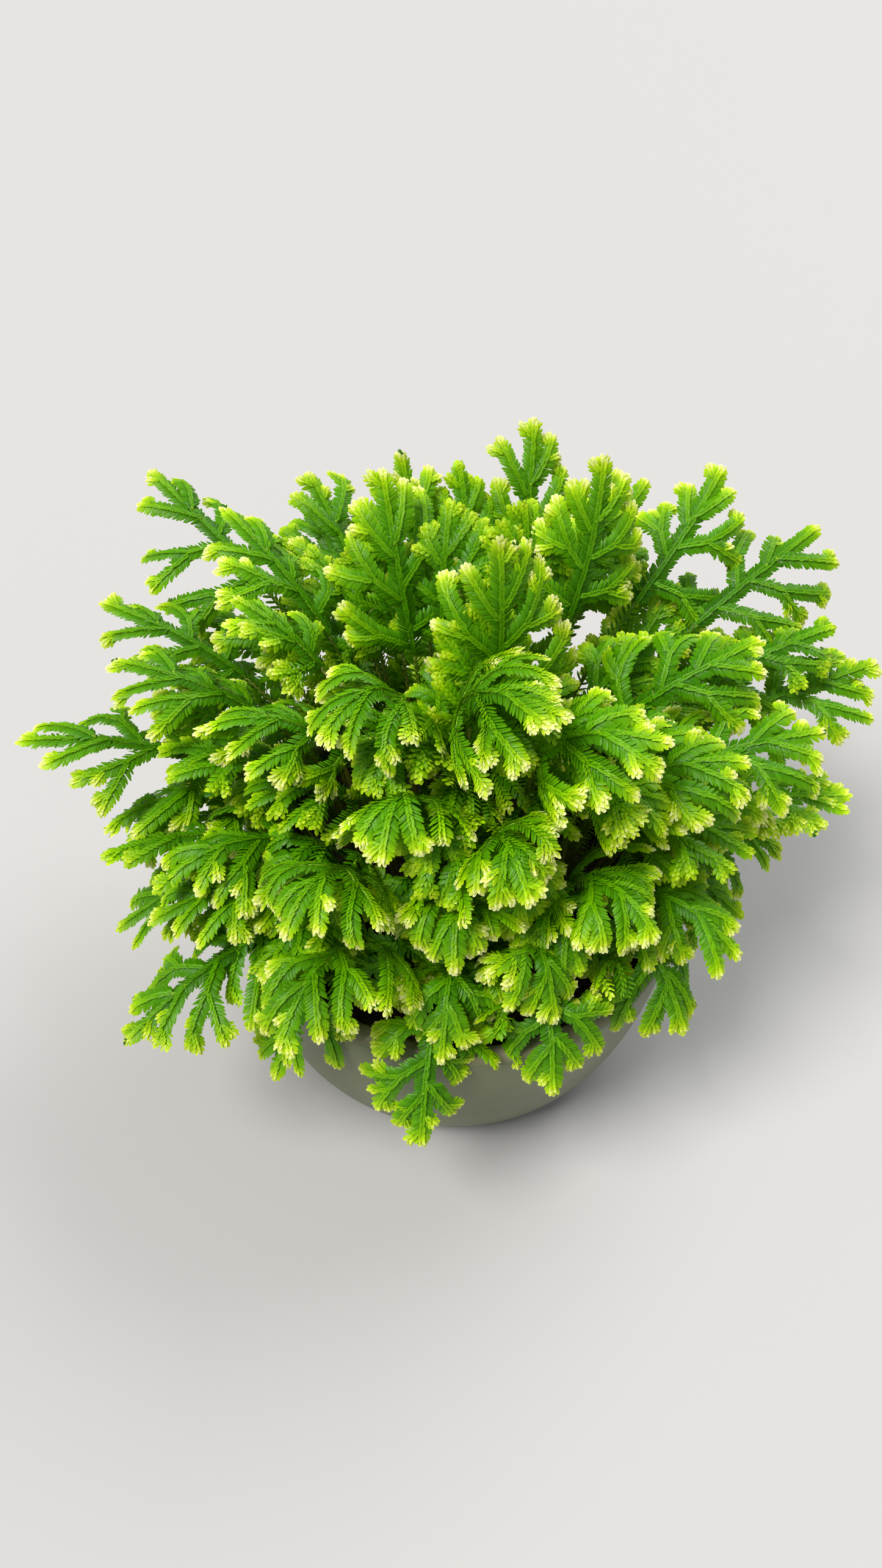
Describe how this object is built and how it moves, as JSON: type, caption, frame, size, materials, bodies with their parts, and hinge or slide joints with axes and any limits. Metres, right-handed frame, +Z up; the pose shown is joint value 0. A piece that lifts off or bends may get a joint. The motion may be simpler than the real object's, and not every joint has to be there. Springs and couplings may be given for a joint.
{
  "type": "potted spikemoss plant",
  "caption": "Frosty spikemoss in a squat rounded glazed pot: a dense low mound of flat, forked, pale-tipped sprays that arch out over the rim from dark peat soil.",
  "frame": {"origin": "centre of the pot's flat foot, on the surface it stands on", "axes": "+Z up out of the pot, -Y towards the front, where the mound hangs lowest over the rim, +X to the plant's right as seen from the front"},
  "size_m": [0.2173, 0.1661, 0.1542],
  "materials": {
    "glaze": "sage-green satin glaze over stoneware, a paler lip",
    "peat": "dark moist peat with brown fibres",
    "foliage": "bright green scale-like leaflets, semi-gloss, going yellow-green and cream-white at the tips"
  },
  "bodies": {
    "root": {"frond_crown_01": "foliage", "frond_crown_02": "foliage", "frond_crown_03": "foliage", "frond_lower_01": "foliage", "frond_lower_02": "foliage", "frond_lower_03": "foliage", "frond_lower_04": "foliage", "frond_lower_05": "foliage", "frond_lower_06": "foliage", "frond_lower_07": "foliage", "frond_lower_08": "foliage", "frond_lower_09": "foliage", "frond_lower_10": "foliage", "frond_lower_11": "foliage", "frond_lower_12": "foliage", "frond_lower_13": "foliage", "frond_lower_14": "foliage", "frond_middle_01": "foliage", "frond_middle_02": "foliage", "frond_middle_03": "foliage", "frond_middle_04": "foliage", "frond_middle_05": "foliage", "frond_middle_06": "foliage", "frond_middle_07": "foliage", "frond_middle_08": "foliage", "frond_middle_09": "foliage", "frond_middle_10": "foliage", "frond_middle_11": "foliage", "frond_skirt_01": "foliage", "frond_skirt_02": "foliage", "frond_skirt_03": "foliage", "frond_skirt_04": "foliage", "frond_skirt_05": "foliage", "frond_skirt_06": "foliage", "frond_skirt_07": "foliage", "frond_skirt_08": "foliage", "frond_skirt_09": "foliage", "frond_skirt_10": "foliage", "frond_skirt_11": "foliage", "frond_upper_01": "foliage", "frond_upper_02": "foliage", "frond_upper_03": "foliage", "frond_upper_04": "foliage", "frond_upper_05": "foliage", "frond_upper_06": "foliage", "frond_upper_07": "foliage", "pot": "glaze", "soil": "peat"}
  },
  "joints": []
}
